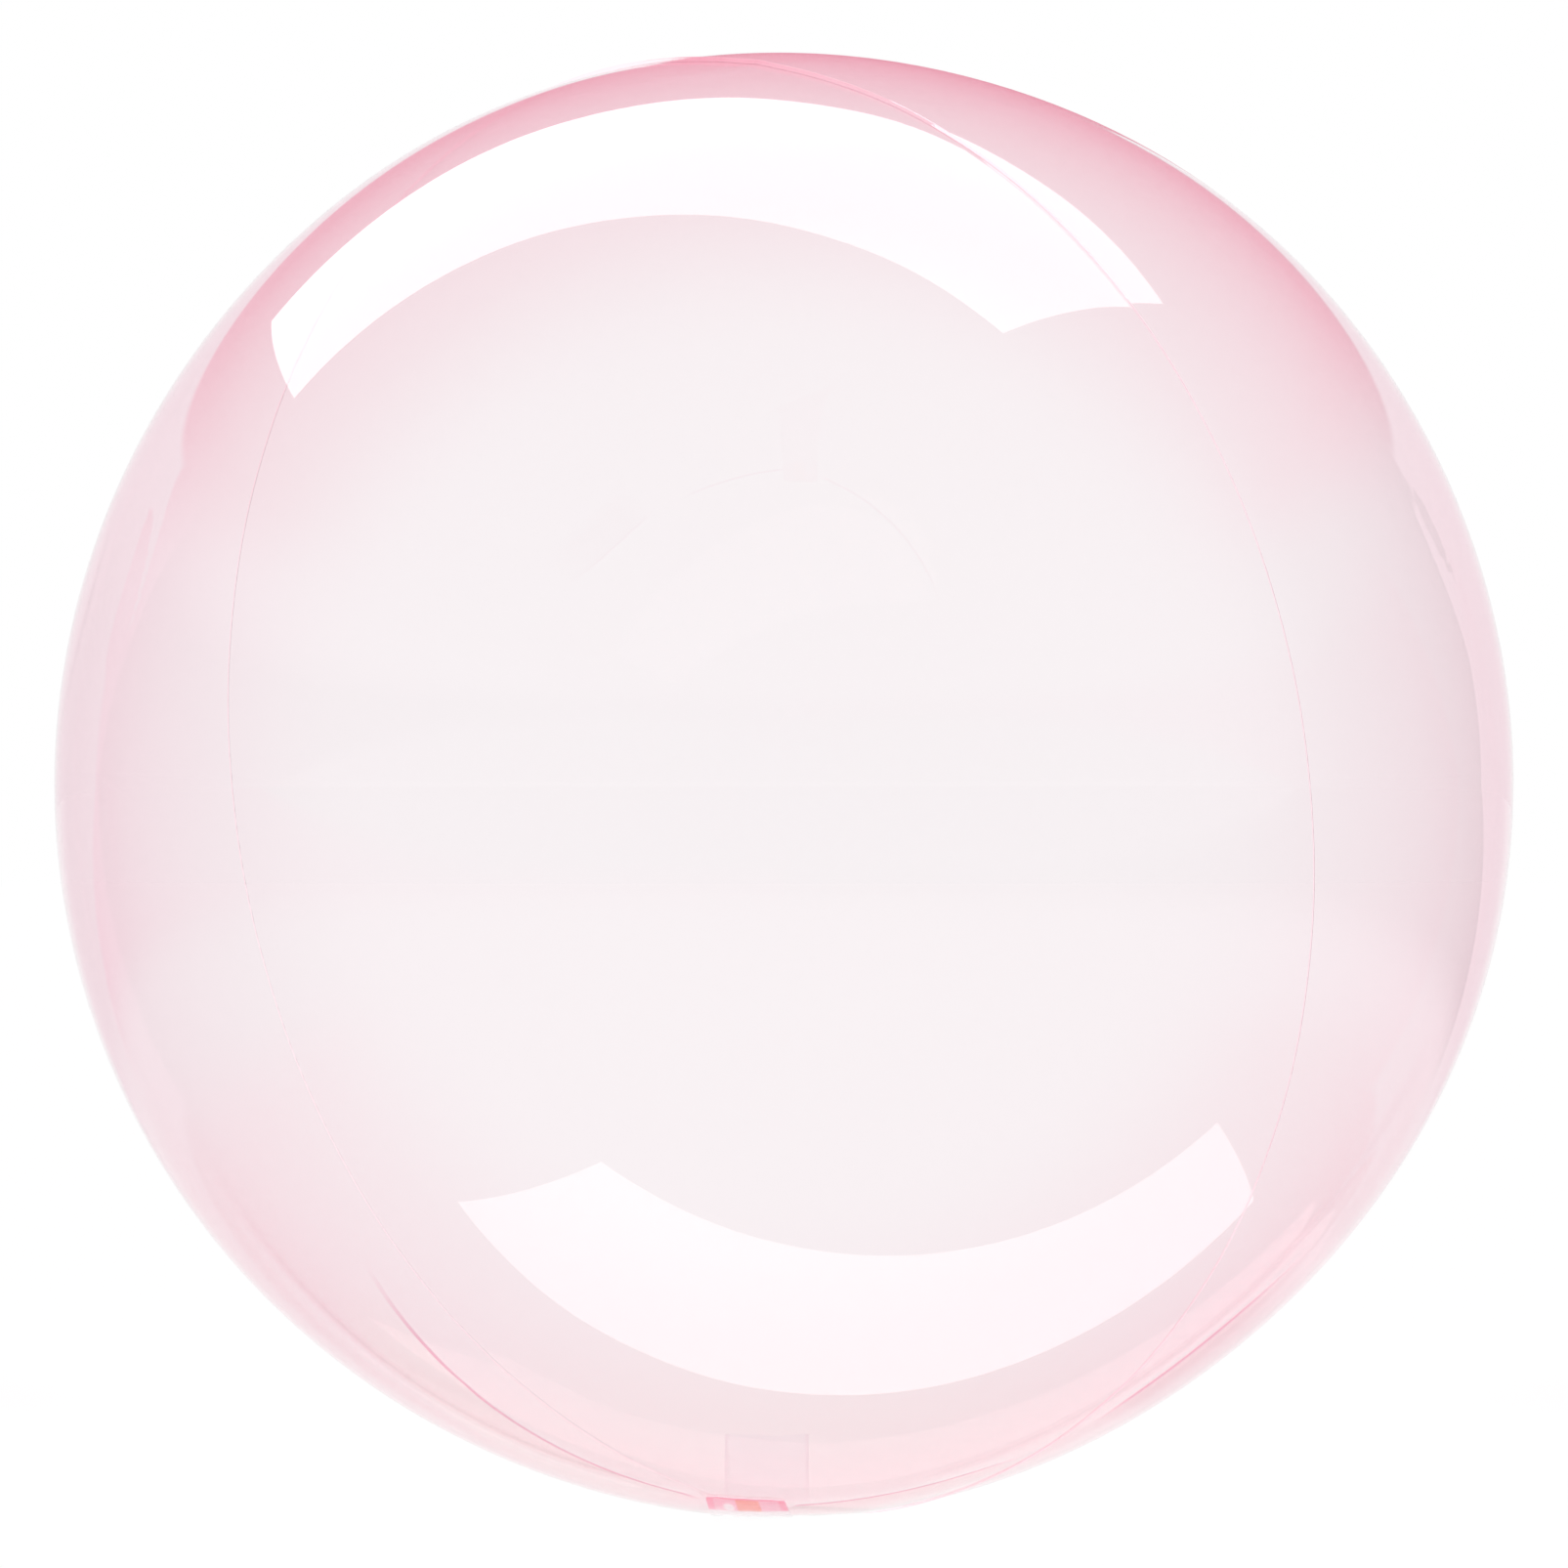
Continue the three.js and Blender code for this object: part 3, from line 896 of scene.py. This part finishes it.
class BALLOON_OT_sleeve(bpy.types.Operator):
    """Builds the valve's limp sleeve, lying against the film inside the ball"""

    bl_idname = "balloon.sleeve"
    bl_label = "Valve sleeve"

    def execute(self, context):
        piece, side, along = film_strip(
            "valve_sleeve", shape().sleeve_width, shape().sleeve_length, 40, 90)
        flat_pattern(piece, side, along)
        ball = shape().diameter / 2
        root = weld_root()
        climb = math.atan2(root[1], ball - root[2]) + (along + SLEEVE_START) / ball
        x = root[0] + shape().sleeve_aside + side
        units = np.column_stack((x / ball, np.sin(climb), -np.cos(climb)))
        units /= np.linalg.norm(units, axis=1, keepdims=True)
        # The limp film lies in soft waves, and its free end lifts a little.
        waves = 0.25 * MM * (1 + np.sin(side / (2.6 * MM) + along / (19 * MM)))
        waves += 0.2 * MM * (1 + np.sin(along / (5.5 * MM) + side / (11 * MM)))
        loose = np.clip(1 - (1 - along / shape().sleeve_length) / LIFTED_SHARE, 0, 1)
        depth = shape().film + FILM_GAP + waves + SLEEVE_LIFT * loose ** 2
        radius = film_radius(units) - depth
        move_points(piece, units * radius[:, None] + np.array((0, 0, ball)))
        apply_modifier(piece, "SOLIDIFY", thickness=SLEEVE_THICKNESS, offset=0)
        smooth(piece)
        piece.data.materials.append(sleeve_material())
        piece.visible_shadow = False
        piece.visible_glossy = False
        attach(piece, "root")
        return {"FINISHED"}


# ---- the stage -----------------------------------------------------------

# Where the lit backdrop ends at each side, in degrees from straight behind the ball, and
# how soft each edge is.
RIGHT_EDGE = 37.0
RIGHT_BLUR = 0.3
LEFT_EDGE = -42.0
LEFT_BLUR = 1.0
# Its top edge, in degrees above the horizon, hangs lowest a little right of the middle and
# climbs towards both sides.
TOP_EDGE = 12.0
TOP_BLUR = 0.5
SAG_DEPTH = 8.0
SAG_AZIMUTH = 1.8
LEFT_CLIMB = 16.0
RIGHT_CLIMB = 12.0
# The strip light's corners, in ball radii from the middle of the ball.
STRIP_FAR_LEFT = (-3.72, 4.18, 3.47)
STRIP_NEAR_LEFT = (-5.01, 2.15, 3.80)
STRIP_FAR_RIGHT = (3.38, 1.48, 4.40)
STRIP_NEAR_RIGHT = (2.48, -1.38, 4.97)
# The floor's painted shade starts and is full at these distances from the ball, in metres.
PAINTED_SHADE_STARTS = 0.7
PAINTED_SHADE_FULL = 1.3
FLOOR_RADIUS = 30
CLIP_END = 100
# The ball fills this share of the frame's half width.
BALL_SHARE = 0.931


def azimuth_of(tree, axes):
    """Degrees to the right of straight behind the ball."""
    turn = add_node(tree, "ShaderNodeMath", {"operation": "ARCTAN2"}, {0: axes["X"], 1: axes["Y"]})
    azimuth = add_node(tree, "ShaderNodeMath", {"operation": "DEGREES"}, {0: turn.outputs[0]})
    return azimuth.outputs[0]


def over_top_edge(tree, azimuth, elevation):
    """Degrees by which each direction passes over the backdrop's top edge."""
    from_sag = add_node(tree, "ShaderNodeMath", {"operation": "SUBTRACT"}, {
        0: azimuth, 1: SAG_AZIMUTH})
    sag_far = add_node(tree, "ShaderNodeMath", {"operation": "ABSOLUTE"}, {
        0: from_sag.outputs[0]})
    sag = add_node(tree, "ShaderNodeMapRange", {"interpolation_type": "SMOOTHSTEP"}, {
        "Value": sag_far.outputs[0], "From Min": 0.8, "From Max": 4.5,
        "To Min": SAG_DEPTH, "To Max": 0.0})
    climb_left = add_node(tree, "ShaderNodeMapRange", inputs={
        "Value": azimuth, "From Min": 0.0, "From Max": -90.0,
        "To Min": 0.0, "To Max": LEFT_CLIMB})
    climb_right = add_node(tree, "ShaderNodeMapRange", inputs={
        "Value": azimuth, "From Min": 8.0, "From Max": 68.0,
        "To Min": 0.0, "To Max": RIGHT_CLIMB})
    climb = add_node(tree, "ShaderNodeMath", {"operation": "ADD"}, {
        0: climb_left.outputs["Result"], 1: climb_right.outputs["Result"]})
    level_edge = add_node(tree, "ShaderNodeMath", {"operation": "ADD"}, {
        0: climb.outputs[0], 1: TOP_EDGE})
    top_edge = add_node(tree, "ShaderNodeMath", {"operation": "SUBTRACT"}, {
        0: level_edge.outputs[0], 1: sag.outputs["Result"]})
    over_edge = add_node(tree, "ShaderNodeMath", {"operation": "SUBTRACT"}, {
        0: elevation, 1: top_edge.outputs[0]})
    return over_edge.outputs[0]


def past_backdrop(tree, azimuth, over_edge):
    """1 outside the backdrop and 0 on it; it spans over a fifth of a turn."""
    outside_top = add_node(tree, "ShaderNodeMapRange", {"interpolation_type": "SMOOTHSTEP"}, {
        "Value": over_edge, "From Min": -TOP_BLUR, "From Max": TOP_BLUR})
    outside_right = add_node(tree, "ShaderNodeMapRange", {"interpolation_type": "SMOOTHSTEP"}, {
        "Value": azimuth, "From Min": RIGHT_EDGE - RIGHT_BLUR,
        "From Max": RIGHT_EDGE + RIGHT_BLUR})
    outside_left = add_node(tree, "ShaderNodeMapRange", {"interpolation_type": "SMOOTHSTEP"}, {
        "Value": azimuth, "From Min": LEFT_EDGE + LEFT_BLUR, "From Max": LEFT_EDGE - LEFT_BLUR})
    beside = add_node(tree, "ShaderNodeMath", {"operation": "MAXIMUM"}, {
        0: outside_right.outputs["Result"], 1: outside_left.outputs["Result"]})
    outside = add_node(tree, "ShaderNodeMath", {"operation": "MAXIMUM"}, {
        0: outside_top.outputs["Result"], 1: beside.outputs[0]})
    return outside.outputs[0]


def build_world():
    """A white backdrop behind the ball, and a dimmer studio round it."""
    world = bpy.data.worlds.new("studio")
    bpy.context.scene.world = world
    world.use_nodes = True
    tree = world.node_tree
    tree.nodes.clear()

    direction = add_node(tree, "ShaderNodeTexCoord").outputs["Generated"]
    axes = add_node(tree, "ShaderNodeSeparateXYZ", inputs={0: direction}).outputs
    azimuth = azimuth_of(tree, axes)
    rise = add_node(tree, "ShaderNodeMath", {"operation": "ARCSINE"}, {0: axes["Z"]})
    elevation = add_node(tree, "ShaderNodeMath", {"operation": "DEGREES"}, {
        0: rise.outputs[0]}).outputs[0]
    over_edge = over_top_edge(tree, azimuth, elevation)

    # The studio round the backdrop is pinker on the left, neutral on the right, pink
    # overhead and bright on the camera's side.
    rightness = add_node(tree, "ShaderNodeMapRange", {"interpolation_type": "SMOOTHSTEP"}, {
        "Value": azimuth, "From Min": -10.0, "From Max": 10.0})
    side = add_node(tree, "ShaderNodeMix", {"data_type": "RGBA"}, {
        0: rightness.outputs["Result"], A: rgba(studio().left), B: rgba(studio().right)})
    later = add_node(tree, "ShaderNodeMapRange", inputs={
        "Value": azimuth, "From Min": 20.0, "From Max": 40.0, "To Min": 0.0, "To Max": 4.5})
    over_side = add_node(tree, "ShaderNodeMath", {"operation": "SUBTRACT"}, {
        0: over_edge, 1: later.outputs["Result"]})
    height = add_node(tree, "ShaderNodeMapRange", {"interpolation_type": "SMOOTHSTEP"}, {
        "Value": over_side.outputs[0], "From Min": -7.0, "From Max": 4.0})
    shade = add_node(tree, "ShaderNodeMix", {"data_type": "RGBA"}, {
        0: height.outputs["Result"], A: side.outputs[MIX], B: rgba(studio().above)})
    frontness = add_node(tree, "ShaderNodeMapRange", {"interpolation_type": "SMOOTHSTEP"}, {
        "Value": axes["Y"], "From Min": 0.25, "From Max": -0.35})
    around = add_node(tree, "ShaderNodeMix", {"data_type": "RGBA"}, {
        0: frontness.outputs["Result"], A: shade.outputs[MIX], B: rgba(studio().front)})

    # The backdrop's light falls off a little away from straight behind the ball.
    aside = add_node(tree, "ShaderNodeMath", {"operation": "ARCCOSINE"}, {0: axes["Y"]})
    falloff = add_node(tree, "ShaderNodeMapRange", {"interpolation_type": "SMOOTHSTEP"}, {
        "Value": aside.outputs[0], "From Min": math.radians(5), "From Max": math.radians(22)})
    backdrop = add_node(tree, "ShaderNodeMix", {"data_type": "RGBA"}, {
        0: falloff.outputs["Result"], A: rgba(studio().white), B: rgba(studio().rim)})
    colour = add_node(tree, "ShaderNodeMix", {"data_type": "RGBA"}, {
        0: past_backdrop(tree, azimuth, over_edge), A: backdrop.outputs[MIX],
        B: around.outputs[MIX]})
    background = add_node(tree, "ShaderNodeBackground", inputs={"Color": colour.outputs[MIX]})
    add_node(tree, "ShaderNodeOutputWorld", inputs={"Surface": background.outputs[0]})


def build_strip_light():
    """The long strip light above and behind the ball."""
    radius = shape().diameter / 2
    ball = Vector((0, 0, radius))
    far_left, near_left, far_right, near_right = (
        Vector(corner) * radius + ball
        for corner in (STRIP_FAR_LEFT, STRIP_NEAR_LEFT, STRIP_FAR_RIGHT, STRIP_NEAR_RIGHT))
    middle = (far_left + near_left + far_right + near_right) / 4
    along = ((far_right + near_right) - (far_left + near_left)) / 2
    across = ((far_left + far_right) - (near_left + near_right)) / 2
    light = bpy.data.lights.new("strip_light", "AREA")
    light.shape = "RECTANGLE"
    light.size = along.length
    light.size_y = across.length
    # An area light's power is its radiance times pi times its area.
    light.energy = studio().box_strength * math.pi * light.size * light.size_y
    light.color = studio().box_tint
    holder = bpy.data.objects.new("strip_light", light)
    bpy.context.scene.collection.objects.link(holder)
    facing = along.cross(across).normalized()
    if facing.z < 0:
        facing = -facing
    x_axis = along.normalized()
    y_axis = facing.cross(x_axis)
    holder.matrix_world = Matrix.Translation(middle) @ Matrix(
        (x_axis, y_axis, facing)).transposed().to_4x4()
    holder.visible_camera = False


def floor_material():
    """A matt floor that glows white by itself behind the ball, with painted shade that makes it a
    little dimmer further out.
    """
    material = new_material("glowing_floor_painted_shade")
    tree = material.node_tree

    place = add_node(tree, "ShaderNodeTexCoord").outputs["Object"]
    axes = add_node(tree, "ShaderNodeSeparateXYZ", inputs={0: place}).outputs
    azimuth = azimuth_of(tree, axes)
    distance = add_node(tree, "ShaderNodeVectorMath", {"operation": "LENGTH"}, {0: place})
    # Painted shade: further out, the floor's glow takes the backdrop's rim colour away from
    # straight behind the ball, and the studio's side and front colours beyond.
    far = add_node(tree, "ShaderNodeMapRange", {"interpolation_type": "SMOOTHSTEP"}, {
        "Value": distance.outputs["Value"], "From Min": PAINTED_SHADE_STARTS,
        "From Max": PAINTED_SHADE_FULL}).outputs["Result"]
    aside = add_node(tree, "ShaderNodeMath", {"operation": "ABSOLUTE"}, {0: azimuth})
    past_middle = add_node(tree, "ShaderNodeMapRange", {"interpolation_type": "SMOOTHSTEP"}, {
        "Value": aside.outputs[0], "From Min": 14.0, "From Max": 26.0})
    falloff = add_node(tree, "ShaderNodeMath", {"operation": "MULTIPLY"}, {
        0: past_middle.outputs["Result"], 1: far})
    colour = add_node(tree, "ShaderNodeMix", {"data_type": "RGBA"}, {
        0: falloff.outputs[0], A: rgba(studio().white), B: rgba(studio().rim)})
    past_right = add_node(tree, "ShaderNodeMapRange", {"interpolation_type": "SMOOTHSTEP"}, {
        "Value": azimuth, "From Min": RIGHT_EDGE - RIGHT_BLUR,
        "From Max": RIGHT_EDGE + RIGHT_BLUR})
    right = add_node(tree, "ShaderNodeMath", {"operation": "MULTIPLY"}, {
        0: past_right.outputs["Result"], 1: far})
    colour = add_node(tree, "ShaderNodeMix", {"data_type": "RGBA"}, {
        0: right.outputs[0], A: colour.outputs[MIX], B: rgba(studio().right)})
    past_left = add_node(tree, "ShaderNodeMapRange", {"interpolation_type": "SMOOTHSTEP"}, {
        "Value": azimuth, "From Min": LEFT_EDGE + LEFT_BLUR, "From Max": LEFT_EDGE - LEFT_BLUR})
    left = add_node(tree, "ShaderNodeMath", {"operation": "MULTIPLY"}, {
        0: past_left.outputs["Result"], 1: far})
    colour = add_node(tree, "ShaderNodeMix", {"data_type": "RGBA"}, {
        0: left.outputs[0], A: colour.outputs[MIX], B: rgba(studio().left)})
    forward = add_node(tree, "ShaderNodeMapRange", {"interpolation_type": "SMOOTHSTEP"}, {
        "Value": axes["Y"], "From Min": -0.3, "From Max": -1.2})
    front = add_node(tree, "ShaderNodeMath", {"operation": "MULTIPLY"}, {
        0: forward.outputs["Result"], 1: far})
    colour = add_node(tree, "ShaderNodeMix", {"data_type": "RGBA"}, {
        0: front.outputs[0], A: colour.outputs[MIX], B: rgba(studio().front_floor_painted_shade)})
    # The floor gives off light of its own, and that glow carries the painted shade.
    surface = add_node(tree, "ShaderNodeBsdfPrincipled", inputs={
        "Base Color": rgba((0.03, 0.03, 0.03)), "Roughness": 0.9, "Specular IOR Level": 0.0,
        "Emission Color": colour.outputs[MIX], "Emission Strength": 0.98})
    add_node(tree, "ShaderNodeOutputMaterial", inputs={"Surface": surface.outputs[0]})
    return material


class BALLOON_OT_stage(bpy.types.Operator):
    """Adds the pale floor, the soft light and the camera"""

    bl_idname = "balloon.stage"
    bl_label = "Floor, light and camera"

    def execute(self, context):
        build_world()
        build_strip_light()
        deselect()
        bpy.ops.mesh.primitive_circle_add(
            vertices=96, radius=FLOOR_RADIUS, fill_type="NGON")
        floor = bpy.context.object
        floor.name = "floor"
        floor.data.materials.append(floor_material())

        radius = shape().diameter / 2
        camera = bpy.data.cameras.new("camera")
        holder = bpy.data.objects.new("camera", camera)
        context.scene.collection.objects.link(holder)
        holder.location = (0, -studio().camera_distance, radius)
        holder.rotation_euler = (math.radians(90), 0, 0)
        camera.sensor_width = 36
        outline = math.tan(math.asin(radius / studio().camera_distance))
        camera.lens = camera.sensor_width / 2 * BALL_SHARE / outline
        camera.clip_end = CLIP_END
        context.scene.camera = holder

        context.scene.view_settings.view_transform = "Standard"
        context.scene.cycles.max_bounces = 24
        context.scene.cycles.glossy_bounces = 12
        context.scene.cycles.transmission_bounces = 16
        return {"FINISHED"}


# ---- the add-on ----------------------------------------------------------

class BALLOON_PT_panel(bpy.types.Panel):
    """Lists the balloon's operators and settings"""

    bl_label = "Bubble balloon"
    bl_space_type = "VIEW_3D"
    bl_region_type = "UI"
    bl_category = "Balloon"

    def draw(self, context):
        for operator in OPERATORS:
            self.layout.operator(operator.bl_idname)
        for group in (shape(), finish(), studio()):
            for name in group.__annotations__:
                self.layout.prop(group, name)


OPERATORS = (BALLOON_OT_panels, BALLOON_OT_lip, BALLOON_OT_neck, BALLOON_OT_sleeve,
             BALLOON_OT_stage)
GROUPS = {
    "balloon_shape": BalloonShape,
    "balloon_finish": BalloonFinish,
    "balloon_studio": BalloonStudio,
}


def register():
    for cls in (*GROUPS.values(), *OPERATORS, BALLOON_PT_panel):
        bpy.utils.register_class(cls)
    for name, group in GROUPS.items():
        setattr(bpy.types.Scene, name, bpy.props.PointerProperty(type=group))


def unregister():
    for name in GROUPS:
        delattr(bpy.types.Scene, name)
    for cls in reversed((*GROUPS.values(), *OPERATORS, BALLOON_PT_panel)):
        bpy.utils.unregister_class(cls)


def main():
    register()
    bpy.ops.balloon.panels()
    bpy.ops.balloon.lip()
    bpy.ops.balloon.neck()
    bpy.ops.balloon.sleeve()
    bpy.ops.balloon.stage()


if __name__ == "__main__":
    main()
